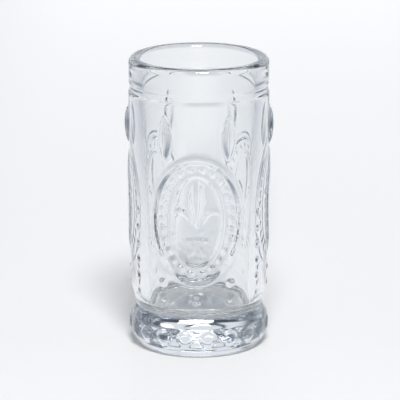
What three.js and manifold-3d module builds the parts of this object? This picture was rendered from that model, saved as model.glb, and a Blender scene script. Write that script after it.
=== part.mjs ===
// Pressed clear-glass highball tumbler with three beaded oval medallions.
// Sizes are in millimetres and degrees, +Z is up and the foot stands on z = 0.
// Angles run round the glass from the front medallion, which faces -Y, towards +X.
import * as THREE from "three";
import { mergeVertices } from "three/addons/utils/BufferGeometryUtils.js";
import Module from "manifold-3d";

const wasm = await Module();
wasm.setup();

// Foot, from the table up to the neck
const footHeight = 20.5;
const footFlare = 3;
const footBevelWidth = 3.9;
const footBevelHeight = 6.3;
const footBevelSwell = 0.75;
const footShoulderHeight = 14;
const footLandWidth = 7.4;
const kickDepth = 1.2;
const kickFullness = 0.75;
const footBeadCount = 19;
const footBeadWidth = 8.2;
const footBeadHeight = 7;
const footBeadProud = 1.4;

// Cup: drinking rim, plain wall, heel curve, floor
const rimRadius = 34.8;
const rimWall = 6;
const rimBandHeight = 13.4;
const shoulderSwell = 0.2;
const wallTaper = 1;
const heelRise = 12.5;
const heelTuck = 2.7;
const boreTaper = 3.8;
const floorRise = 0.5;
const floorSeatShare = 0.4;
const floorFillet = 4;
const floorLand = 0.4;
const grooveHeight = 3.6;
const grooveDepth = 0.45;
const grooveSlope = 0.5;

// Hobnails: low round studs in columns under the petals, the medallions and the gaps
const lowRowRise = 9.7;
const hobnailPitch = 8.3;
const hobnailRadius = 2.1;
const hobnailProud = 0.65;
const gapColumnCount = 6;
const flankColumnCount = 2;
const flankAngle = 29;

// Medallions
const medallionCount = 3;
const medallionClear = 4.7;
const medallionHalfHeight = 33.4;
const medallionHalfWidth = 24.1;
const frameWidth = 2.5;
const frameProud = 0.85;
const frameCrestShare = 0.3;
const fieldThickness = 0.4;
const pearlCount = 26;
const pearlSideInset = 3.4;
const pearlEndInset = 4.3;
const pearlRadius = 1.7;
const pearlProud = 0.6;
const pearlSink = 0.3;
const ovalRidgeInset = 7.9;
const ovalRidgeWidth = 2;
const ovalRidgeProud = 0.45;

// Fleur-de-lis, measured from the middle of its medallion
const lilyProud = 1;
const lilyTop = 21.3;
const lilyFoot = 17.3;
const lilyPetalWidth = 6.9;
const lilySideReach = 11;
const lilySideTip = 0.8;
const lilySideWidth = 3.8;
const lilyRiseReach = 3.3;
const lilyRiseHeight = 3;
const lilyCrestReach = 9.9;
const lilyCrestHeight = 9;
const lilyBandDrop = 9.8;
const lilyBandLength = 12;
const lilyBandWidth = 2.6;
const lilyTailReach = 5;
const lilyTailBend = 1.5;
const lilyTailWidth = 2.8;

// Petals: almond drops above the shoulders of each medallion
const petalAngle = 26.5;
const petalTuck = 2.9;
const petalLength = 21;
const petalWidth = 6.4;
const petalProud = 2.2;
const petalHeadroom = 11.1;

// Ornament stands this far off the surface that carries it
const seatGap = 0.2;

// How fast a leaf narrows to its tip and to its root
const almondForm = { tip: 1, root: 1 };
const flameForm = { tip: 0.6, root: 1.6 };
const hornForm = { tip: 0.8, root: 1.3 };

// Facets
const roundSteps = 60;
const ovalSteps = 36;
const studSteps = 8;
const footBeadRings = 6;
const pearlSteps = 6;
const leafSteps = 12;

// Radii that follow from the drinking rim
const shoulderRadius = rimRadius + shoulderSwell;
const heelRadius = shoulderRadius - wallTaper;
const neckRadius = heelRadius - heelTuck;
const footBandRadius = neckRadius + footFlare;
const footBaseRadius = footBandRadius - footBevelWidth;
const kickRadius = footBaseRadius - footLandWidth;
const floorRadius = rimRadius - rimWall - boreTaper;

// Heights that stack up from the table
const floorSeatLevel = footShoulderHeight + (footHeight - footShoulderHeight) * floorSeatShare;
const floorLevel = footHeight + floorRise;
const heelLevel = footHeight + heelRise;
const lowRowLevel = footHeight + lowRowRise;
const medallionLevel = lowRowLevel + hobnailRadius + medallionClear + medallionHalfHeight;
const petalLevel = medallionLevel + medallionHalfHeight - petalTuck + petalLength / 2;
const wallTop = petalLevel + petalLength / 2 + petalHeadroom;
const rimTop = wallTop + rimBandHeight;
const sector = 360 / medallionCount;
const ovalStretch = medallionHalfHeight - medallionHalfWidth;
const fieldRadius = medallionHalfWidth - frameWidth - seatGap;
const ridgeRadius = fieldRadius - ovalRidgeInset;

const group = new THREE.Group();
group.name = "pressed_glass_tumbler";

function addNode(name, geometry) {
  const glass = new THREE.MeshStandardMaterial({ color: 0xe4e9ec, roughness: 0.06, metalness: 0 });
  const mesh = new THREE.Mesh(geometry, glass);
  mesh.name = name;
  group.add(mesh);
}

// Positions alone, with the seams of the round forms closed
function sealed(geometry) {
  const bare = new THREE.BufferGeometry();
  bare.setAttribute("position", geometry.attributes.position.clone());
  if (geometry.index) {
    bare.setIndex(geometry.index.clone());
  }
  return mergeVertices(bare, 1e-4);
}

function toSolid(geometry) {
  const closed = sealed(geometry);
  const vertProperties = new Float32Array(closed.attributes.position.array);
  const triVerts = new Uint32Array(closed.index.array);
  return new wasm.Manifold(new wasm.Mesh({ numProp: 3, vertProperties, triVerts }));
}

function fromSolid(solid) {
  const mesh = solid.getMesh();
  const geometry = new THREE.BufferGeometry();
  geometry.setAttribute("position", new THREE.BufferAttribute(mesh.vertProperties, 3));
  geometry.setIndex(new THREE.BufferAttribute(mesh.triVerts, 1));
  return geometry;
}

// A profile of (radius, height) points turned round the upright axis
function revolve(profile, steps = roundSteps) {
  const geometry = new THREE.LatheGeometry(profile, steps);
  geometry.rotateX(Math.PI / 2);
  return sealed(geometry);
}

function point(radius, height) {
  return new THREE.Vector2(radius, height);
}

// Points of a round corner, both ends included
function corner(centreRadius, centreHeight, size, fromDegrees, toDegrees, steps) {
  const start = THREE.MathUtils.degToRad(fromDegrees);
  const end = THREE.MathUtils.degToRad(toDegrees);
  const arc = new THREE.EllipseCurve(centreRadius, centreHeight, size, size, start, end, end < start);
  return arc.getPoints(steps);
}

// Outside of the wall: a straight taper down to the heel, then a curve in to the neck
function wallRadius(height) {
  if (height >= heelLevel) {
    const share = (height - heelLevel) / (wallTop - heelLevel);
    return heelRadius + (shoulderRadius - heelRadius) * share;
  }
  const depth = (heelLevel - height) / heelRise;
  return heelRadius - (heelRadius - neckRadius) * depth * depth;
}

// Inside of the wall: the draft that lets the plunger out of the mould
function boreRadius(height) {
  const share = (height - floorLevel) / (rimTop - floorLevel);
  return floorRadius + (rimRadius - rimWall - floorRadius) * share;
}

function wallCurve(fromHeight, toHeight, steps) {
  const points = [];
  for (let i = 0; i <= steps; i++) {
    const height = fromHeight + ((toHeight - fromHeight) * i) / steps;
    points.push(point(wallRadius(height), height));
  }
  return points;
}

// Bends a flat relief round the wall: x is arc, y is height, z is depth off the wall
function wrapOnWall(geometry, degrees, level) {
  const wrapped = geometry.clone();
  const position = wrapped.attributes.position;
  const turn = THREE.MathUtils.degToRad(degrees);
  const flatRadius = wallRadius(level);
  for (let i = 0; i < position.count; i++) {
    const angle = turn + position.getX(i) / flatRadius;
    const height = level + position.getY(i);
    const radius = wallRadius(height) + seatGap + position.getZ(i);
    position.setXYZ(i, radius * Math.sin(angle), -radius * Math.cos(angle), height);
  }
  return wrapped;
}

// A low dome of unit radius and unit height on a flat back of one or more rings
function unitDome(steps, backRings) {
  const profile = [];
  for (let i = 0; i <= backRings; i++) {
    profile.push(point(i / backRings, 0));
  }
  profile.push(point(Math.cos(Math.PI / 4), Math.sin(Math.PI / 4)), point(0, 1));
  return revolve(profile, steps);
}

function stud(radius, proud, steps) {
  return unitDome(steps, 1).scale(radius, radius, proud);
}

// How full a leaf is along its length, from its root at -1 to its tip at 1
function leafFullness(along, form) {
  return (1 - along) ** form.tip * (1 + along) ** form.root;
}

// A pointed leaf: a low dome drawn out along a flat curve to its full width
function leafAlong(curve, width, proud, form) {
  const leaf = unitDome(leafSteps, 2).scale(1, 1, proud);
  const position = leaf.attributes.position;
  const fullest = (form.root - form.tip) / (form.root + form.tip);
  const halfWidth = width / 2 / leafFullness(fullest, form);
  for (let i = 0; i < position.count; i++) {
    const along = THREE.MathUtils.clamp(position.getY(i), -1, 1);
    const across = Math.max(Math.sqrt(1 - along * along), 1e-6);
    const side = (position.getX(i) / across) * leafFullness(along, form) * halfWidth;
    const spot = curve.getPoint((along + 1) / 2);
    const tangent = curve.getTangent((along + 1) / 2);
    position.setXYZ(i, spot.x + tangent.y * side, spot.y - tangent.x * side, position.getZ(i));
  }
  return leaf;
}

// Draws a round relief out into the medallion's oval, every ring of it by the same height
function toOval(geometry) {
  const position = geometry.attributes.position;
  const core = ridgeRadius - ovalRidgeWidth;
  for (let i = 0; i < position.count; i++) {
    const x = position.getX(i);
    const y = position.getY(i);
    const radius = Math.hypot(x, y);
    const pull = radius > 0 ? ovalStretch * Math.min(1, radius / core) * (y / radius) : 0;
    position.setY(i, y + pull);
  }
  return geometry;
}

// Drinking rim: a plain band with a round fire-polished lip
const lipSize = rimWall / 2;
const rimProfile = [point(boreRadius(wallTop), wallTop), point(rimRadius - grooveDepth, wallTop)];
rimProfile.push(point(rimRadius, wallTop + grooveSlope));
rimProfile.push(...corner(rimRadius - lipSize, rimTop - lipSize, lipSize, 0, 180, 6));
rimProfile.push(rimProfile[0]);
addNode("drinking_rim", revolve(rimProfile));

// Wall: heel curve, straight taper, fine groove under the rim band, filleted inside corner
const grooveFoot = wallTop - grooveHeight;
const wallProfile = wallCurve(floorLevel, heelLevel, 3);
wallProfile.push(point(wallRadius(grooveFoot), grooveFoot));
wallProfile.push(point(wallRadius(grooveFoot) - grooveDepth, grooveFoot + grooveSlope));
wallProfile.push(point(rimRadius - grooveDepth, wallTop), point(boreRadius(wallTop), wallTop));
const filletLevel = floorLevel + floorLand + floorFillet;
const filletCentre = boreRadius(filletLevel) - floorFillet;
wallProfile.push(...corner(filletCentre, filletLevel, floorFillet, 360, 270, 4));
wallProfile.push(point(filletCentre, floorLevel), wallProfile[0]);
addNode("barrel_wall", revolve(wallProfile));

// Floor: the solid disc under the cup, with the neck and the upper slope of the foot on its edge
const floorSeatRadius = footBandRadius + (neckRadius - footBandRadius) * floorSeatShare;
const floorSeat = point(floorSeatRadius, floorSeatLevel);
const floorProfile = [point(0, floorSeatLevel), floorSeat, ...wallCurve(footHeight, floorLevel, 1)];
floorProfile.push(point(0, floorLevel));
addNode("cup_floor", revolve(floorProfile));

// Foot: flared out from under the floor, with a ring of beads, a bevel and a shallow kick underneath
const footProfile = [point(0, kickDepth), point(kickRadius / 2, kickDepth * kickFullness), point(kickRadius, 0)];
const bevelMiddleRadius = (footBaseRadius + footBandRadius) / 2 + footBevelSwell;
const bevelMiddle = point(bevelMiddleRadius, footBevelHeight / 2);
footProfile.push(point(footBaseRadius, 0), bevelMiddle, point(footBandRadius, footBevelHeight));
footProfile.push(point(footBandRadius, footShoulderHeight));
footProfile.push(floorSeat, point(0, floorSeatLevel));
const footBeadLevel = (footBevelHeight + footShoulderHeight) / 2;
// Each bead is half sunk, so it is made this much larger than the outline that it leaves on the band
const footBeadSpread = 1 / Math.cos(Math.PI / 6);
let footSolid = toSolid(revolve(footProfile));
for (let i = 0; i < footBeadCount; i++) {
  const bead = new THREE.SphereGeometry(1, studSteps, footBeadRings);
  bead.scale(footBeadSpread * footBeadWidth / 2, footBeadProud * 2, footBeadSpread * footBeadHeight / 2);
  bead.translate(0, footBeadProud - footBandRadius, footBeadLevel);
  bead.rotateZ((2 * Math.PI * (i + 0.5)) / footBeadCount);
  footSolid = footSolid.add(toSolid(bead));
}
addNode("beaded_foot", fromSolid(footSolid));

// Hobnails
const hobnail = stud(hobnailRadius, hobnailProud, studSteps);

function addHobnailColumn(name, degrees, count) {
  for (let row = 0; row < count; row++) {
    const level = lowRowLevel + row * hobnailPitch;
    addNode(`${name}_${row + 1}`, wrapOnWall(hobnail, degrees, level));
  }
}

// Medallion frame: an oval moulding that rises gently outside and drops steeply to the field
function medallionFrame() {
  const inner = medallionHalfWidth - frameWidth;
  const crest = inner + frameWidth * frameCrestShare;
  const outerFlank = crest + (medallionHalfWidth - crest) * Math.cos(Math.PI / 4);
  const innerFlank = crest - (crest - inner) * Math.cos(Math.PI / 4);
  const flankProud = frameProud * Math.sin(Math.PI / 4);
  const profile = [point(inner, 0), point(medallionHalfWidth, 0), point(outerFlank, flankProud)];
  profile.push(point(crest, frameProud), point(innerFlank, flankProud), profile[0].clone());
  return toOval(revolve(profile, ovalSteps));
}

// Medallion field: a thin oval ground with a fine inner ridge and a ring of pearls
function medallionField(degrees) {
  const backRings = 4;
  const profile = [];
  for (let i = 0; i <= backRings; i++) {
    profile.push(point((fieldRadius * i) / backRings, 0));
  }
  profile.push(point(fieldRadius, fieldThickness), point(ridgeRadius + ovalRidgeWidth / 2, fieldThickness));
  profile.push(point(ridgeRadius, fieldThickness + ovalRidgeProud));
  profile.push(point(ridgeRadius - ovalRidgeWidth / 2, fieldThickness), point(ridgeRadius / 2, fieldThickness));
  profile.push(point(0, fieldThickness));
  let field = toSolid(wrapOnWall(toOval(revolve(profile, ovalSteps)), degrees, medallionLevel));
  const pearlHalfWidth = fieldRadius - pearlSideInset;
  const pearlHalfHeight = fieldRadius + ovalStretch - pearlEndInset;
  const pearlRing = new THREE.EllipseCurve(0, 0, pearlHalfWidth, pearlHalfHeight);
  const spots = pearlRing.getSpacedPoints(pearlCount).slice(0, pearlCount);
  for (const spot of spots) {
    const pearl = stud(pearlRadius, pearlProud + pearlSink, pearlSteps);
    pearl.translate(spot.x, spot.y, fieldThickness - pearlSink);
    field = field.add(toSolid(wrapOnWall(pearl, degrees, medallionLevel)));
  }
  return fromSolid(field);
}

// Fleur-de-lis: a tall middle petal, two drooping side petals, a cross band and three short tails
function lilyLeaves() {
  const petalRoot = point(0, -lilyBandDrop - lilyBandWidth);
  const tailRoot = point(0, -lilyBandDrop + lilyBandWidth);
  const middle = new THREE.LineCurve(petalRoot, point(0, lilyTop));
  const leaves = [leafAlong(middle, lilyPetalWidth, lilyProud, flameForm)];
  const bandStart = point(-lilyBandLength / 2, -lilyBandDrop);
  const bandEnd = point(lilyBandLength / 2, -lilyBandDrop);
  leaves.push(leafAlong(new THREE.LineCurve(bandStart, bandEnd), lilyBandWidth, lilyProud, almondForm));
  const tail = new THREE.LineCurve(tailRoot, point(0, -lilyFoot));
  leaves.push(leafAlong(tail, lilyTailWidth, lilyProud, almondForm));
  for (const side of [-1, 1]) {
    const rise = point(side * lilyRiseReach, lilyRiseHeight);
    const crest = point(side * lilyCrestReach, lilyCrestHeight);
    const tip = point(side * lilySideReach, lilySideTip);
    const sideCurve = new THREE.CubicBezierCurve(petalRoot, rise, crest, tip);
    leaves.push(leafAlong(sideCurve, lilySideWidth, lilyProud, hornForm));
    const tailTip = point(side * lilyTailReach, -lilyFoot);
    const tailBend = point(side * lilyTailBend, -lilyFoot);
    const tailCurve = new THREE.QuadraticBezierCurve(tailRoot, tailBend, tailTip);
    leaves.push(leafAlong(tailCurve, lilyTailWidth, lilyProud, almondForm));
  }
  return leaves;
}

// The ground under the lily, with its clearance, as one round core that trims the lily's back
function lilyCore() {
  const lift = fieldThickness + 2 * seatGap;
  const low = medallionLevel - medallionHalfHeight;
  const high = medallionLevel + medallionHalfHeight;
  const profile = [point(0, low), point(wallRadius(low) + lift, low)];
  profile.push(point(wallRadius(high) + lift, high), point(0, high));
  return toSolid(revolve(profile));
}

function fleurDeLis(degrees, core) {
  let lily = null;
  for (const leaf of lilyLeaves()) {
    const solid = toSolid(wrapOnWall(leaf.translate(0, 0, fieldThickness), degrees, medallionLevel));
    lily = lily ? lily.add(solid) : solid;
  }
  return fromSolid(lily.subtract(core));
}

// Petal: an almond drop with a rounded back
const petalSpine = new THREE.LineCurve(point(0, -petalLength / 2), point(0, petalLength / 2));
const petal = leafAlong(petalSpine, petalWidth, petalProud, almondForm);

const frame = medallionFrame();
const core = lilyCore();
for (let i = 0; i < medallionCount; i++) {
  const degrees = i * sector;
  const label = i + 1;
  addNode(`medallion_frame_${label}`, wrapOnWall(frame, degrees, medallionLevel));
  addNode(`medallion_field_${label}`, medallionField(degrees));
  addNode(`fleur_de_lis_${label}`, fleurDeLis(degrees, core));
  addNode(`petal_left_${label}`, wrapOnWall(petal, degrees - petalAngle, petalLevel));
  addNode(`petal_right_${label}`, wrapOnWall(petal, degrees + petalAngle, petalLevel));
  addHobnailColumn(`hobnail_middle_${label}`, degrees, 1);
  addHobnailColumn(`hobnail_left_${label}`, degrees - flankAngle, flankColumnCount);
  addHobnailColumn(`hobnail_right_${label}`, degrees + flankAngle, flankColumnCount);
  addHobnailColumn(`hobnail_gap_${label}`, degrees + sector / 2, gapColumnCount);
}

export default group;
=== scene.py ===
import math
import bmesh
import bpy
import numpy as np
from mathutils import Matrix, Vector


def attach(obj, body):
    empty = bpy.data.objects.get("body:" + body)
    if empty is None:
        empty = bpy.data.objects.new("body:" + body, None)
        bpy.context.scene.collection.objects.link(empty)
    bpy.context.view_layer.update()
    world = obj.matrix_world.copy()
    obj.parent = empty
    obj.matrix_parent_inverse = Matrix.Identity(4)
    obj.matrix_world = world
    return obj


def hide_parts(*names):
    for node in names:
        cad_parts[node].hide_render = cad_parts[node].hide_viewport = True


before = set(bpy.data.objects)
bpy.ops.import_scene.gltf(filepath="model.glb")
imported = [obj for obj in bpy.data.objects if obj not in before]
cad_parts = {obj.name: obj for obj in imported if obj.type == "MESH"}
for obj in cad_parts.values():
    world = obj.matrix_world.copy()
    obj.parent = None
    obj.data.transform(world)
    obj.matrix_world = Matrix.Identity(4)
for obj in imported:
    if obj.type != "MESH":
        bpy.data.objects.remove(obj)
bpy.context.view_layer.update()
mm = 0.001
print("frame loaded,", len(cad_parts), "nodes")


# sRGB hex to the linear values that Blender's sockets take
def linear(hexColour):
    values = [int(hexColour[i:i + 2], 16) / 255 for i in (1, 3, 5)]
    return (*(v / 12.92 if v <= 0.04045 else ((v + 0.055) / 1.055) ** 2.4 for v in values), 1)


# Adds a node, fills its settings and sockets, and joins its inputs to other nodes
def addNode(tree, kind, settings=None, sockets=None, links=None):
    node = tree.nodes.new(kind)
    for name, value in (settings or {}).items():
        setattr(node, name, value)
    for name, value in (sockets or {}).items():
        node.inputs[name].default_value = value
    for name, source in (links or {}).items():
        tree.links.new(source, node.inputs[name])
    return node


# Outside of the glass from the table up, in mm. Relief is moved out from this curve.
foot = {
    "height": 20.9,
    "baseRadius": 30.4,
    "bevelMiddle": 33.1,
    "bevelHeight": 6.3,
    "bandRadius": 34.3,
    "shoulderHeight": 14.9,
    "neckRadius": 31.3,
    "kickRadius": 23.0,
    "kickDepth": 1.2,
    "kickShares": (0.25, 0.5, 0.75, 0.92, 1.0),
    "contactRound": 0.9,  # height of the rounded edge on the table
    "contactSpread": 1.6,  # its width, as a share of its height
    "contactInset": 3.0,  # where the flat ring ends, in the same share
    "contactSteps": 5,
}
cup = {
    "heelLevel": 33.0,
    "heelRadius": 34.0,
    "shoulderRadius": 35.0,
    "wallTop": 133.0,
    "grooveHeight": 3.6,
    "grooveDepth": 0.6,
    "grooveSlope": 0.5,
    "rimTop": 146.4,
    "rimRadius": 34.8,
    "rimWall": 6.0,
    "lipSteps": 14,
    "boreShares": (0.12, 0.3, 0.5, 0.7, 0.88),
    "floorLevel": 21.0,
    "floorRadius": 25.0,
    "floorFillet": 4.0,
    "filletSteps": 8,
    "floorShares": (0.75, 0.5, 0.25, 0.1),
    "edgeSoftness": 0.35,
}
grid = {
    "columns": 384,
    # from height, to height, row spacing
    "rows": [(0.9, 21.5, 0.6), (21.5, 36.0, 0.72), (36.0, 104.0, 0.58), (104.0, 124.0, 1.0),
             (124.0, 129.2, 1.3), (129.2, 134.4, 0.4), (134.4, 144.6, 1.7)],
    "curveStep": 0.05,
    "curveMargin": 3.0,
    "softReach": 40,  # steps of the curve that the softening takes in
    "mergeGap": 1e-6,  # metres
}


def wallRadius(z):
    taper = (z - cup["heelLevel"]) / (cup["wallTop"] - cup["heelLevel"])
    straight = cup["heelRadius"] + (cup["shoulderRadius"] - cup["heelRadius"]) * taper
    depth = (cup["heelLevel"] - z) / (cup["heelLevel"] - foot["height"])
    curved = cup["heelRadius"] - (cup["heelRadius"] - foot["neckRadius"]) * depth ** 2
    return np.where(z >= cup["heelLevel"], straight, curved)


# Sharp outside curve sampled finely, then rounded off as the hot glass rounds off in the mould
fineZ = np.arange(-grid["curveMargin"], cup["rimTop"] + grid["curveMargin"], grid["curveStep"])
footCurve = [
    (0.0, foot["baseRadius"]),
    (foot["bevelHeight"] / 2, foot["bevelMiddle"]),
    (foot["bevelHeight"], foot["bandRadius"]),
    (foot["shoulderHeight"], foot["bandRadius"]),
    (foot["height"], foot["neckRadius"]),
]
footR = np.interp(fineZ, *zip(*footCurve))
fineR = np.where(fineZ < foot["height"], footR, wallRadius(fineZ))
grooveFoot = cup["wallTop"] - cup["grooveHeight"]
grooveTop = cup["wallTop"] + cup["grooveSlope"]
grooveZ = [grooveFoot, grooveFoot + cup["grooveSlope"], cup["wallTop"], grooveTop]
grooveR = np.interp(fineZ, grooveZ, [0.0, cup["grooveDepth"], cup["grooveDepth"], 0.0])
fineR = np.where(fineZ > grooveTop, cup["rimRadius"], fineR - grooveR)
reach = grid["softReach"]
softening = np.exp(-0.5 * (np.arange(-reach, reach + 1) * grid["curveStep"] / cup["edgeSoftness"]) ** 2)
softR = np.convolve(np.pad(fineR, reach, mode="edge"), softening / softening.sum(), mode="valid")


def outsideRadius(z):
    return np.interp(z, fineZ, softR)


def boreRadius(z):
    share = (z - cup["floorLevel"]) / (cup["rimTop"] - cup["floorLevel"])
    return cup["floorRadius"] + (cup["rimRadius"] - cup["rimWall"] - cup["floorRadius"]) * share


# Profile points run from the middle of the underside, up the outside, over the lip and down to the floor
profile = [(0.0, foot["kickDepth"])]
for share in foot["kickShares"]:
    profile.append((foot["kickRadius"] * share, foot["kickDepth"] * (1 - share ** 2)))
contact = foot["contactRound"]
spread = foot["contactSpread"]
contactEdge = float(outsideRadius(contact))
profile.append((contactEdge - foot["contactInset"] * contact, 0.0))
for step in range(foot["contactSteps"]):
    turn = math.radians(90 * step / foot["contactSteps"])
    inset = contact * (spread - spread * math.sin(turn))
    profile.append((contactEdge - inset, contact * (1 - math.cos(turn))))
firstOutside = len(profile)
for low, high, spacing in grid["rows"]:
    for z in np.arange(low, high - spacing / 2, spacing):
        profile.append((float(outsideRadius(z)), float(z)))
lastOutside = len(profile)
lip = cup["rimWall"] / 2
lipCentre = cup["rimRadius"] - lip
lipLevel = cup["rimTop"] - lip
for step in range(cup["lipSteps"] + 1):
    turn = math.radians(180 * step / cup["lipSteps"])
    profile.append((lipCentre + lip * math.cos(turn), lipLevel + lip * math.sin(turn)))
fillet = cup["floorFillet"]
filletLevel = cup["floorLevel"] + fillet
filletCentre = float(boreRadius(filletLevel)) - fillet
for share in cup["boreShares"]:
    z = lipLevel * (1 - share) + filletLevel * share
    profile.append((float(boreRadius(z)), z))
for step in range(cup["filletSteps"] + 1):
    turn = math.radians(90 * step / cup["filletSteps"])
    profile.append((filletCentre + fillet * math.cos(turn), filletLevel - fillet * math.sin(turn)))
for share in cup["floorShares"]:
    profile.append((filletCentre * share, cup["floorLevel"]))
profile.append((0.0, cup["floorLevel"]))

glassBody = bmesh.new()
rowLayer = glassBody.verts.layers.int.new("row")
profileVerts = []
for index, (radius, z) in enumerate(profile):
    vert = glassBody.verts.new((radius * mm, 0, z * mm))
    vert[rowLayer] = index
    profileVerts.append(vert)
profileEdges = [glassBody.edges.new(pair) for pair in zip(profileVerts, profileVerts[1:])]
bmesh.ops.spin(glassBody, geom=profileVerts + profileEdges, cent=(0, 0, 0), axis=(0, 0, 1),
               angle=math.tau, steps=grid["columns"], use_merge=True)
bmesh.ops.remove_doubles(glassBody, verts=glassBody.verts[:], dist=grid["mergeGap"])
bmesh.ops.recalc_face_normals(glassBody, faces=glassBody.faces[:])
glassMesh = bpy.data.meshes.new("pressed_glass")
glassBody.to_mesh(glassMesh)
glassBody.free()
print("blank spun,", len(glassMesh.vertices), "vertices,", len(glassMesh.polygons), "faces")


# Relief, worked out over the outside as rows of height by columns of angle
rowZ = np.array([z for radius, z in profile[firstOutside:lastOutside]])[:, None]
columnAngle = (np.arange(grid["columns"]) * math.tau / grid["columns"])[None, :]
relief = np.zeros((rowZ.shape[0], grid["columns"]))


# Flat places on the wall round a point: arc to the right of it and height above it, in mm
def flatFrom(degrees, level, radius=None):
    turn = (columnAngle - math.radians(degrees) + math.pi) % math.tau - math.pi
    arc = turn * (float(wallRadius(np.float64(level))) if radius is None else radius)
    return arc + 0 * rowZ, rowZ - level + 0 * columnAngle


def raiseTo(height):
    np.maximum(relief, height, out=relief)


# Height over a rounded shape from how far inside it a place lies; a low power gives a flat top
def dome(left, power):
    return np.clip(left, 0, None) ** power


# A leaf lies along a curve, full between its root and its tip
def leaf(arc, rise, points, width, proud, power, tip=1.0, root=1.0, steps=48, thinnest=1e-6):
    share = np.linspace(0, 1, steps + 1)[:, None]
    curves = [np.array(point) for point in points]
    while len(curves) > 1:
        curves = [one * (1 - share) + other * share for one, other in zip(curves, curves[1:])]
    spine = curves[0]
    low, high = spine.min(axis=0) - width, spine.max(axis=0) + width
    near = (arc > low[0]) & (arc < high[0]) & (rise > low[1]) & (rise < high[1])
    spot = np.stack([arc[near], rise[near]], axis=-1)
    start, run = spine[:-1], np.diff(spine, axis=0)
    stepShare = ((spot[:, None] - start) * run).sum(-1) / (run ** 2).sum(-1)
    stepShare = np.clip(stepShare, 0, 1)
    gap = spot[:, None] - start - stepShare[..., None] * run
    distance = np.hypot(gap[..., 0], gap[..., 1])
    best = distance.argmin(axis=1)
    pick = np.arange(len(best))
    along = 2 * (best + stepShare[pick, best]) / steps - 1
    fullest = (root - tip) / (root + tip)
    fullness = (1 - along) ** tip * (1 + along) ** root / ((1 - fullest) ** tip * (1 + fullest) ** root)
    side = distance[pick, best] / np.maximum(width / 2 * fullness, thinnest)
    height = np.zeros(arc.shape)
    height[near] = proud * dome((1 - along ** 2) * (1 - side ** 2), power)
    return height


# How far outside an oval each place lies, in mm along its short axis; ovals round it keep its extra height
def outsideOval(arc, rise, halfWidth, halfHeight,
                attempts=14, startPast=0.5, leastHalf=0.05, leastSlope=1e-9):
    stretch = halfHeight - halfWidth
    half = np.hypot(arc, rise * halfWidth / halfHeight) + startPast
    for attempt in range(attempts):
        miss = (arc / half) ** 2 + (rise / (half + stretch)) ** 2 - 1
        slope = -2 * arc ** 2 / half ** 3 - 2 * rise ** 2 / (half + stretch) ** 3
        half = np.maximum(half - miss / np.minimum(slope, -leastSlope), leastHalf)
    return half - halfWidth


footBead = {"count": 19, "width": 8.2, "height": 7.2, "proud": 0.9, "level": 10.3, "power": 0.28}
for number in range(footBead["count"]):
    arc, rise = flatFrom((number + 0.5) * 360 / footBead["count"], footBead["level"], foot["bandRadius"])
    left = 1 - (2 * arc / footBead["width"]) ** 2 - (2 * rise / footBead["height"]) ** 2
    raiseTo(footBead["proud"] * dome(left, footBead["power"]))

hobnail = {
    "lowest": 30.2, "pitch": 8.3, "radius": 2.1, "proud": 0.7, "power": 1.1,
    "gapCount": 6, "flankCount": 2, "flankAngle": 29.0,
}


def hobnailColumn(degrees, count):
    for number in range(count):
        arc, rise = flatFrom(degrees, hobnail["lowest"] + number * hobnail["pitch"])
        left = 1 - (arc ** 2 + rise ** 2) / hobnail["radius"] ** 2
        raiseTo(hobnail["proud"] * dome(left, hobnail["power"]))


lily = {
    "top": 22.3, "heart": 4.8, "foot": 17.3, "power": 1.0,
    "petalProud": 1.6, "petalWidth": 7.6, "petalTip": 0.7, "petalRoot": 1.1,
    "sideProud": 0.8, "sideWidth": 3.6, "sideTip": 0.8, "sideRoot": 1.6,
    "sideCurl": [(1.5, -6.0), (3.5, 4.5), (9.0, 8.5), (12.6, 2.4)],
    "bandDrop": 9.8, "bandLength": 15.0, "bandWidth": 3.4, "bandProud": 0.4,
    "tailProud": 0.35, "tailReach": 5.0, "tailBend": 1.5, "tailWidth": 3.6,
}


def fleurDeLis(arc, rise):
    petalSpine = [(0, -lily["heart"]), (0, lily["top"])]
    bandSpine = [(side * lily["bandLength"] / 2, -lily["bandDrop"]) for side in (-1, 1)]
    tailRoot = (0.0, -lily["bandDrop"] + lily["bandWidth"])
    tailSpines = [[tailRoot, (0, -lily["foot"])]]
    for side in (-1, 1):
        bend, end = side * lily["tailBend"], side * lily["tailReach"]
        tailSpines.append([tailRoot, (bend, -lily["foot"]), (end, -lily["foot"])])
    leaves = [leaf(arc, rise, petalSpine, lily["petalWidth"], lily["petalProud"], lily["power"],
                   lily["petalTip"], lily["petalRoot"]),
              leaf(arc, rise, bandSpine, lily["bandWidth"], lily["bandProud"], lily["power"])]
    for spine in tailSpines:
        leaves.append(leaf(arc, rise, spine, lily["tailWidth"], lily["tailProud"], lily["power"]))
    for side in (-1, 1):
        curl = [(side * x, y) for x, y in lily["sideCurl"]]
        leaves.append(leaf(arc, rise, curl, lily["sideWidth"], lily["sideProud"], lily["power"],
                           lily["sideTip"], lily["sideRoot"]))
    return np.maximum.reduce(leaves)


petal = {"angle": 26.5, "level": 111.4, "length": 21.0, "width": 6.4, "proud": 2.4, "power": 0.6}
medallion = {
    "count": 3, "level": 70.5, "halfHeight": 33.4, "halfWidth": 24.1,
    "innerHalfHeight": 29.8, "innerHalfWidth": 21.7,
    "frameOuterSlope": 1.1, "frameInnerDrop": 0.35, "frameProud": 1.05,
    "easeFrom": 0.55, "easeRun": 0.35,  # shares of the half height, below the middle
    "frameInnerEase": 3.6, "frameFootDrop": 0.65,
    "fieldProud": -0.75, "fieldMargin": 0.1,
    "pearlCount": 26, "pearlHalfWidth": 18.0, "pearlHalfHeight": 26.2, "pearlSamples": 2001,
    "pearlRadius": 2.0, "pearlProud": 0.65, "pearlPower": 1.2,
    "ridgeHalfWidth": 13.4, "ridgeHalfHeight": 23.5, "ridgeWidth": 3.2, "ridgeProud": 0.7, "ridgePower": 2.0,
}

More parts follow.
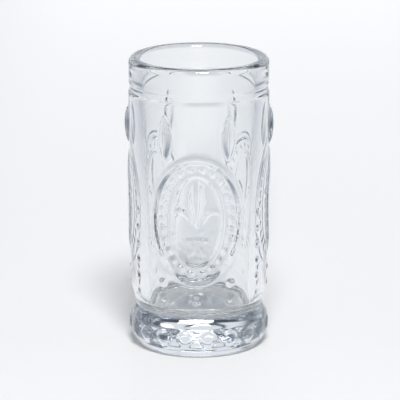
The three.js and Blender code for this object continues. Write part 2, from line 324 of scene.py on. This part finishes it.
# Pearls are spaced evenly along their own oval
fineTurn = np.linspace(0, math.tau, medallion["pearlSamples"])
pearlArc = medallion["pearlHalfWidth"] * np.cos(fineTurn)
pearlRise = medallion["pearlHalfHeight"] * np.sin(fineTurn)
walked = np.concatenate([[0], np.cumsum(np.hypot(np.diff(pearlArc), np.diff(pearlRise)))])
pearlWalks = [walked[-1] * pearl / medallion["pearlCount"] for pearl in range(medallion["pearlCount"])]
pearlPlaces = [(np.interp(at, walked, pearlArc), np.interp(at, walked, pearlRise)) for at in pearlWalks]

grounds = []
for number in range(medallion["count"]):
    middle = number * 360 / medallion["count"]
    arc, rise = flatFrom(middle, medallion["level"])
    pastOuter = outsideOval(arc, rise, medallion["halfWidth"], medallion["halfHeight"])
    pastInner = outsideOval(arc, rise, medallion["innerHalfWidth"], medallion["innerHalfHeight"])
    pastRidge = outsideOval(arc, rise, medallion["ridgeHalfWidth"], medallion["ridgeHalfHeight"])
    # the moulding is crisp at its top and eases towards its foot, where the mould draws
    ease = np.clip((-rise / medallion["halfHeight"] - medallion["easeFrom"]) / medallion["easeRun"], 0, 1)
    innerDrop = medallion["frameInnerDrop"] + medallion["frameInnerEase"] * ease
    climb = np.minimum(-pastOuter / medallion["frameOuterSlope"], pastInner / innerDrop)
    climb = np.clip(climb, 0, 1)
    crisp, soft = np.sin(climb * math.pi / 2), climb ** 2 * (3 - 2 * climb)
    crest = medallion["frameProud"] - medallion["frameFootDrop"] * ease
    moulding = crest * ((1 - ease) * crisp + ease * soft)
    raiseTo(moulding)
    # the ground is sunk inside the moulding and carries the ridge, the pearls and the lily
    edgeRun = innerDrop + medallion["fieldMargin"]
    field = medallion["fieldProud"] * (1 - ease) * np.clip(0.5 - pastInner / edgeRun, 0, 1)
    ridgeLeft = 1 - (2 * pastRidge / medallion["ridgeWidth"]) ** 2
    ornament = medallion["ridgeProud"] * dome(ridgeLeft, medallion["ridgePower"])
    for pearlX, pearlY in pearlPlaces:
        left = 1 - ((arc - pearlX) ** 2 + (rise - pearlY) ** 2) / medallion["pearlRadius"] ** 2
        ornament = np.maximum(ornament, medallion["pearlProud"] * dome(left, medallion["pearlPower"]))
    ornament = np.maximum(ornament, fleurDeLis(arc, rise))
    grounds.append((pastInner < 0.5 * edgeRun, field + np.maximum(ornament, moulding)))
    for side in (-1, 1):
        arc, rise = flatFrom(middle + side * petal["angle"], petal["level"])
        petalSpine = [(0, -petal["length"] / 2), (0, petal["length"] / 2)]
        raiseTo(leaf(arc, rise, petalSpine, petal["width"], petal["proud"], petal["power"]))
        hobnailColumn(middle + side * hobnail["flankAngle"], hobnail["flankCount"])
    hobnailColumn(middle, 1)
    hobnailColumn(middle + 180 / medallion["count"], hobnail["gapCount"])

for inside, height in grounds:
    relief = np.where(inside, height, relief)

# Fire polish takes the sharpness off every edge of the relief
polishShare = 0.25
for axis in (0, 1):
    before, after = np.roll(relief, 1, axis), np.roll(relief, -1, axis)
    if axis == 0:
        before[0], after[-1] = relief[0], relief[-1]
    relief = polishShare * before + (1 - 2 * polishShare) * relief + polishShare * after

count = len(glassMesh.vertices)
place = np.empty(count * 3)
glassMesh.vertices.foreach_get("co", place)
place = place.reshape(-1, 3)
row = np.empty(count, dtype=np.int32)
glassMesh.attributes["row"].data.foreach_get("value", row)
carries = (row >= firstOutside) & (row < lastOutside)
angle = np.arctan2(place[:, 0], -place[:, 1])
column = np.round(angle / math.tau * grid["columns"]).astype(int) % grid["columns"]
reliefRow = np.clip(row - firstOutside, 0, relief.shape[0] - 1)
moved = np.where(carries, relief[reliefRow, column], 0) * mm
leastRadius = 1e-9  # points on the axis don't move
radius = np.maximum(np.hypot(place[:, 0], place[:, 1]), leastRadius)
place[:, :2] *= (1 + moved / radius)[:, None]
glassMesh.vertices.foreach_set("co", place.ravel())
glassMesh.attributes.remove(glassMesh.attributes["row"])
glassMesh.polygons.foreach_set("use_smooth", [True] * len(glassMesh.polygons))
glassMesh.update()
glass = bpy.data.objects.new("pressed_glass", glassMesh)
bpy.context.collection.objects.link(glass)
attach(glass, "root")
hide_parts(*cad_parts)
print("relief pressed, highest", round(float(relief.max()), 2), "mm")


# Soda-lime glass, pressed and fire polished: bright and clear, with the slow waves of a pressed wall,
# a fine mould ripple that breaks up reflections, and a faint cool tint where the glass is thick
finish = {
    "ior": 1.517, "tint": "#fcfdfd", "thickTint": "#eef1f5", "density": 18.0,
    "waveMm": 14.0, "waveDepthMm": 0.05, "waveDetail": 1.0, "waveGrain": 0.4,
    "rippleMm": 2.2, "rippleDepthMm": 0.006, "rippleDetail": 2.0, "rippleGrain": 0.5,
    "polished": 0.3, "dulled": 0.75, "dullest": 0.035,  # where the ripple dulls the polish, and how far
}
pressed = bpy.data.materials.new("soda_lime_glass_fire_polished")
pressed.use_nodes = True
tree = pressed.node_tree
tree.nodes.clear()
objectPlace = addNode(tree, "ShaderNodeTexCoord")
wave = addNode(tree, "ShaderNodeTexNoise", {"noise_dimensions": "3D"},
               {"Scale": 1 / (finish["waveMm"] * mm), "Detail": finish["waveDetail"],
                "Roughness": finish["waveGrain"]},
               {"Vector": objectPlace.outputs["Object"]})
ripple = addNode(tree, "ShaderNodeTexNoise", {"noise_dimensions": "3D"},
                 {"Scale": 1 / (finish["rippleMm"] * mm), "Detail": finish["rippleDetail"],
                  "Roughness": finish["rippleGrain"]},
                 {"Vector": objectPlace.outputs["Object"]})
waveBump = addNode(tree, "ShaderNodeBump",
                   sockets={"Strength": 1.0, "Distance": finish["waveDepthMm"] * mm},
                   links={"Height": wave.outputs["Fac"]})
rippleBump = addNode(tree, "ShaderNodeBump",
                     sockets={"Strength": 1.0, "Distance": finish["rippleDepthMm"] * mm},
                     links={"Height": ripple.outputs["Fac"], "Normal": waveBump.outputs["Normal"]})
polish = addNode(tree, "ShaderNodeMapRange",
                 sockets={"From Min": finish["polished"], "From Max": finish["dulled"],
                          "To Min": 0.0, "To Max": finish["dullest"]},
                 links={"Value": ripple.outputs["Fac"]})
surface = addNode(tree, "ShaderNodeBsdfPrincipled",
                  sockets={"Base Color": linear(finish["tint"]), "IOR": finish["ior"],
                           "Transmission Weight": 1.0},
                  links={"Roughness": polish.outputs["Result"], "Normal": rippleBump.outputs["Normal"]})
thickness = addNode(tree, "ShaderNodeVolumeAbsorption",
                    sockets={"Color": linear(finish["thickTint"]), "Density": finish["density"]})
addNode(tree, "ShaderNodeOutputMaterial",
        links={"Surface": surface.outputs["BSDF"], "Volume": thickness.outputs["Volume"]})
glassMesh.materials.append(pressed)
print("glass finished")


# Matt paper sweep, evenly pale in the middle, with painted light: its colour and its glow are painted dimmer
# out to the sides, the glow is brighter far back, and a painted shade darkens the paper behind the glass
# that the medallion is seen against. Lengths are in metres.
sweep = {
    "radius": 3.0, "segments": 96, "drop": 0.0002, "roughness": 0.9, "gloss": 0.1,
    "paper": "#d8d8d8", "lit": "#ffffff", "surround": "#8d939e", "paperHalfWidth": 0.1, "fadeHalfWidth": 0.6,
    "nearGlow": 0.12, "farGlow": 0.46, "glowRun": 0.9,
    "shade": "#bbbdc1", "shadeCore": 0.018, "shadeEdge": 0.042,
    "shadeStart": 0.08, "shadeFull": 0.19, "shadeFade": 0.26, "shadeEnd": 0.44,
}
floorShape = bmesh.new()
bmesh.ops.create_circle(floorShape, cap_ends=True, cap_tris=False, segments=sweep["segments"],
                        radius=sweep["radius"])
bmesh.ops.translate(floorShape, verts=floorShape.verts[:], vec=(0, 0, -sweep["drop"]))
floorMesh = bpy.data.meshes.new("studio_floor")
floorShape.to_mesh(floorMesh)
floorShape.free()
studioFloor = bpy.data.objects.new("studio_floor", floorMesh)
bpy.context.collection.objects.link(studioFloor)
paper = bpy.data.materials.new("matt_white_sweep")
paper.use_nodes = True
tree = paper.node_tree
tree.nodes.clear()
smooth = {"interpolation_type": "SMOOTHSTEP"}
multiply = {"operation": "MULTIPLY"}
floorPlace = addNode(tree, "ShaderNodeTexCoord")
floorParts = addNode(tree, "ShaderNodeSeparateXYZ", links={"Vector": floorPlace.outputs["Object"]})
aside = addNode(tree, "ShaderNodeMath", {"operation": "ABSOLUTE"}, links={"Value": floorParts.outputs["X"]})
# painted dimming: the paper's colour and its glow fade to a dim grey out to the sides
fade = addNode(tree, "ShaderNodeMapRange", smooth,
               {"From Min": sweep["paperHalfWidth"], "From Max": sweep["fadeHalfWidth"]},
               {"Value": aside.outputs["Value"]})
paperColour = addNode(tree, "ShaderNodeMixRGB",
                      sockets={"Color1": linear(sweep["paper"]), "Color2": linear(sweep["surround"])},
                      links={"Fac": fade.outputs["Result"]})
paperLit = addNode(tree, "ShaderNodeMixRGB",
                   sockets={"Color1": linear(sweep["lit"]), "Color2": linear(sweep["surround"])},
                   links={"Fac": fade.outputs["Result"]})
# painted shade: a soft dark patch on the paper right behind the glass, narrower than the glass, standing in
# for its shadow
shadeAcross = addNode(tree, "ShaderNodeMapRange", smooth,
                      {"From Min": sweep["shadeEdge"], "From Max": sweep["shadeCore"]},
                      {"Value": aside.outputs["Value"]})
shadeNear = addNode(tree, "ShaderNodeMapRange", smooth,
                    {"From Min": sweep["shadeStart"], "From Max": sweep["shadeFull"]},
                    {"Value": floorParts.outputs["Y"]})
shadeFar = addNode(tree, "ShaderNodeMapRange", smooth,
                   {"From Min": sweep["shadeEnd"], "From Max": sweep["shadeFade"]},
                   {"Value": floorParts.outputs["Y"]})
shadeAlong = addNode(tree, "ShaderNodeMath", multiply,
                     links={0: shadeNear.outputs["Result"], 1: shadeFar.outputs["Result"]})
shaded = addNode(tree, "ShaderNodeMath", multiply,
                 links={0: shadeAcross.outputs["Result"], 1: shadeAlong.outputs["Value"]})
paperShaded = addNode(tree, "ShaderNodeMixRGB", sockets={"Color2": linear(sweep["shade"])},
                      links={"Fac": shaded.outputs["Value"], "Color1": paperColour.outputs["Color"]})
# painted glow: the paper glows, weakly near the glass and more strongly far back
brighter = addNode(tree, "ShaderNodeMapRange",
                   sockets={"From Min": 0.0, "From Max": sweep["glowRun"],
                            "To Min": sweep["nearGlow"], "To Max": sweep["farGlow"]},
                   links={"Value": floorParts.outputs["Y"]})
paperShader = addNode(tree, "ShaderNodeBsdfPrincipled",
                      sockets={"Roughness": sweep["roughness"], "Specular IOR Level": sweep["gloss"]},
                      links={"Base Color": paperShaded.outputs["Color"],
                             "Emission Color": paperLit.outputs["Color"],
                             "Emission Strength": brighter.outputs["Result"]})
addNode(tree, "ShaderNodeOutputMaterial", links={"Surface": paperShader.outputs["BSDF"]})
floorMesh.materials.append(paper)

# A key light high in front and a softbox high behind, both turned towards the middle of the glass
lamps = {
    "aim": (0.0, 0.0, 0.07),
    "key_softbox": {"place": (0.15, -1.08, 1.66), "shape": "DISK",
                    "width": 0.6, "height": 0.6, "power": 37.0},
    "back_softbox": {"place": (0.0, 1.9, 1.5), "shape": "RECTANGLE",
                     "width": 0.84, "height": 0.78, "power": 3.8},
}
for name in ("key_softbox", "back_softbox"):
    lamp = bpy.data.lights.new(name, "AREA")
    lamp.shape = lamps[name]["shape"]
    lamp.size = lamps[name]["width"]
    lamp.size_y = lamps[name]["height"]
    lamp.energy = lamps[name]["power"]
    lampObject = bpy.data.objects.new(name, lamp)
    lampObject.location = lamps[name]["place"]
    lampAim = Vector(lamps["aim"]) - Vector(lamps[name]["place"])
    lampObject.rotation_euler = lampAim.to_track_quat("-Z", "Y").to_euler()
    bpy.context.collection.objects.link(lampObject)

# A dim room with a pale glow low down behind: its dark upper sides draw the dark lines in the glass.
# The spans are parts of a direction of length 1.
room = {
    "leftSide": "#2e3644", "rightSide": "#3c4452", "sideSpan": (-0.6, 0.6),
    "front": "#787e88", "frontSpan": (-0.15, -0.6),
    "overhead": "#9298a2", "overheadSpan": (0.72, 0.97),
    "glow": "#f2f4f6", "glowBack": (0.3, 0.75), "glowLow": (0.64, 0.46), "sideGlow": 0.55,
    "strength": 1.0,
}
roomWorld = bpy.data.worlds.new("studio_room")
bpy.context.scene.world = roomWorld
roomWorld.use_nodes = True
tree = roomWorld.node_tree
tree.nodes.clear()
direction = addNode(tree, "ShaderNodeTexCoord")
parts = addNode(tree, "ShaderNodeSeparateXYZ", links={"Vector": direction.outputs["Generated"]})
across = addNode(tree, "ShaderNodeMapRange",
                 sockets={"From Min": room["sideSpan"][0], "From Max": room["sideSpan"][1]},
                 links={"Value": parts.outputs["X"]})
frontward = addNode(tree, "ShaderNodeMapRange", smooth,
                    {"From Min": room["frontSpan"][0], "From Max": room["frontSpan"][1]},
                    {"Value": parts.outputs["Y"]})
upward = addNode(tree, "ShaderNodeMapRange",
                 sockets={"From Min": room["overheadSpan"][0], "From Max": room["overheadSpan"][1]},
                 links={"Value": parts.outputs["Z"]})
backward = addNode(tree, "ShaderNodeMapRange", smooth,
                   {"From Min": room["glowBack"][0], "From Max": room["glowBack"][1],
                    "To Min": room["sideGlow"]},
                   {"Value": parts.outputs["Y"]})
lowDown = addNode(tree, "ShaderNodeMapRange", smooth,
                  {"From Min": room["glowLow"][0], "From Max": room["glowLow"][1]},
                  {"Value": parts.outputs["Z"]})
glowing = addNode(tree, "ShaderNodeMath", multiply,
                  links={0: backward.outputs["Result"], 1: lowDown.outputs["Result"]})
sides = addNode(tree, "ShaderNodeMixRGB",
                sockets={"Color1": linear(room["leftSide"]), "Color2": linear(room["rightSide"])},
                links={"Fac": across.outputs["Result"]})
around = addNode(tree, "ShaderNodeMixRGB", sockets={"Color2": linear(room["front"])},
                 links={"Fac": frontward.outputs["Result"], "Color1": sides.outputs["Color"]})
walls = addNode(tree, "ShaderNodeMixRGB", sockets={"Color2": linear(room["overhead"])},
                links={"Fac": upward.outputs["Result"], "Color1": around.outputs["Color"]})
backed = addNode(tree, "ShaderNodeMixRGB", sockets={"Color2": linear(room["glow"])},
                 links={"Fac": glowing.outputs["Value"], "Color1": walls.outputs["Color"]})
sky = addNode(tree, "ShaderNodeBackground", sockets={"Strength": room["strength"]},
              links={"Color": backed.outputs["Color"]})
addNode(tree, "ShaderNodeOutputWorld", links={"Surface": sky.outputs["Background"]})
print("studio lit")

# Angles in degrees; the distance and the aim in mm, as the lens and the sensor are
view = {"azimuth": 2.0, "elevation": 15.26, "distance": 1281.5, "aim": (0.55, 0.0, 72.55),
        "lens": 230.4, "sensor": 36.0, "nearest": 0.05, "furthest": 50.0}
lensData = bpy.data.cameras.new("photo_camera")
lensData.lens = view["lens"]
lensData.sensor_width = view["sensor"]
lensData.clip_start = view["nearest"]  # metres
lensData.clip_end = view["furthest"]
camera = bpy.data.objects.new("photo_camera", lensData)
turn, lift = math.radians(view["azimuth"]), math.radians(view["elevation"])
outward = Vector((math.sin(turn) * math.cos(lift), -math.cos(turn) * math.cos(lift), math.sin(lift)))
aim = Vector(view["aim"]) * mm
camera.location = aim + outward * view["distance"] * mm
camera.rotation_euler = (-outward).to_track_quat("-Z", "Y").to_euler()
bpy.context.collection.objects.link(camera)

# Glass needs many bounces to stay clear
scene = bpy.context.scene
scene.camera = camera
scene.view_settings.view_transform = "Standard"
scene.view_settings.look = "None"
scene.cycles.max_bounces = 24
scene.cycles.transmission_bounces = 24
scene.cycles.glossy_bounces = 12
scene.cycles.transparent_max_bounces = 24

print("scene ready")
